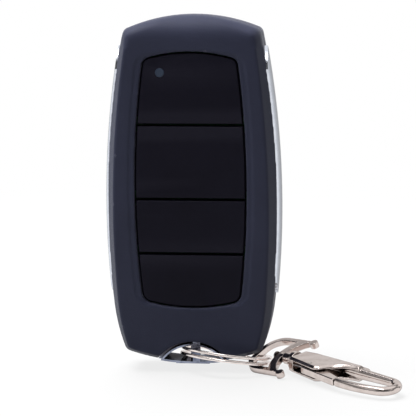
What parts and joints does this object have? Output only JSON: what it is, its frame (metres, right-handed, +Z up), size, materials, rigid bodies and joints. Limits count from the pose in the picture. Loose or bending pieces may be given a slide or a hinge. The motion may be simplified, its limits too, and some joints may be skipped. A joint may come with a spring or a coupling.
{
  "type": "gate remote control",
  "caption": "Handheld gate remote control with a keypad and metal side trims, and a split ring with a swivel clasp hung from a bracket in its base.",
  "frame": {"origin": "centre of the flat foot of the keyring bracket, at the bottom of the case", "axes": "+X to the right when facing the keys, +Y to the rear cover, +Z up along the case"},
  "size_m": [0.0598, 0.0324, 0.0716],
  "materials": {
    "cover": "fine matte, charcoal with a blue cast",
    "keys": "smooth matte, near black",
    "side_trim": "bright plate",
    "bracket": "bright plate, cool",
    "ring": "nickel plate",
    "eye": "nickel plate, warm",
    "clasp": "nickel plate, warm",
    "gate": "nickel plate, warm",
    "rivet": "turned",
    "pin": "turned",
    "spring": "spring strip",
    "screws": "zinc plate",
    "lens": "polished, smoke blue",
    "board": "solder mask",
    "led": "clear epoxy",
    "chip": "moulded epoxy",
    "can": "drawn can",
    "ceramic": "fired ceramic",
    "antenna": "tinned copper strip",
    "cell": "drawn can",
    "clip": "nickel strip",
    "contact": "gold flash",
    "switch": "stamped shell",
    "stem": "moulded"
  },
  "bodies": {
    "case": {"front_cover": "cover", "rear_cover": "cover", "right_side_trim": "side_trim", "left_side_trim": "side_trim", "keyring_bracket": "bracket", "case_screws": "screws", "circuit_board": "board", "status_led": "led", "microcontroller": "chip", "resonator": "can", "chip_parts": "ceramic", "loop_antenna": "antenna", "coin_cell": "cell", "cell_clip": "clip", "cell_negative_contact": "contact", "key_switch_1": "switch", "key_switch_2": "switch", "key_switch_3": "switch", "key_switch_4": "switch"},
    "key_1": {"key_1": "keys", "switch_stem_1": "stem", "led_lens": "lens"},
    "key_2": {"key_2": "keys", "switch_stem_2": "stem"},
    "key_3": {"key_3": "keys", "switch_stem_3": "stem"},
    "key_4": {"key_4": "keys", "switch_stem_4": "stem"},
    "ring": {"split_ring": "ring"},
    "eye": {"swivel_eye": "eye"},
    "clasp": {"swivel_rivet": "rivet", "clasp_body": "clasp", "gate_pin": "pin", "gate_spring": "spring"},
    "gate": {"clasp_gate": "gate"}
  },
  "joints": [
    {"name": "key_1_press", "type": "slide", "parent": "case", "child": "key_1", "axis": [0, 1, 0], "range_m": [0, 0.0004], "stiffness_N_per_m": 600},
    {"name": "key_2_press", "type": "slide", "parent": "case", "child": "key_2", "axis": [0, 1, 0], "range_m": [0, 0.0004], "stiffness_N_per_m": 600},
    {"name": "key_3_press", "type": "slide", "parent": "case", "child": "key_3", "axis": [0, 1, 0], "range_m": [0, 0.0004], "stiffness_N_per_m": 600},
    {"name": "key_4_press", "type": "slide", "parent": "case", "child": "key_4", "axis": [0, 1, 0], "range_m": [0, 0.0004], "stiffness_N_per_m": 600},
    {"name": "ring_swing", "type": "hinge", "parent": "case", "child": "ring", "pos_m": [-0.00229, -0.001, 0.00204], "axis": [0, 1, 0], "range_deg": [0, 45]},
    {"name": "eye_swing", "type": "hinge", "parent": "ring", "child": "eye", "pos_m": [0.01509, -0.001, -0.00004], "axis": [-0.0195, 0.9863, -0.1639], "range_deg": [-15, 3]},
    {"name": "clasp_swivel", "type": "hinge", "parent": "eye", "child": "clasp", "pos_m": [0.02009, -0.00437, 0.0011], "axis": [0.7655, -0.6423, -0.0384], "continuous": true},
    {"name": "gate_open", "type": "hinge", "parent": "clasp", "child": "gate", "pos_m": [0.02394, -0.01096, 0.00059], "axis": [-0.0267, -0.0913, 0.9955], "range_deg": [0, 20], "stiffness_Nm_per_rad": 0.01, "springref_deg": -11.46}
  ]
}
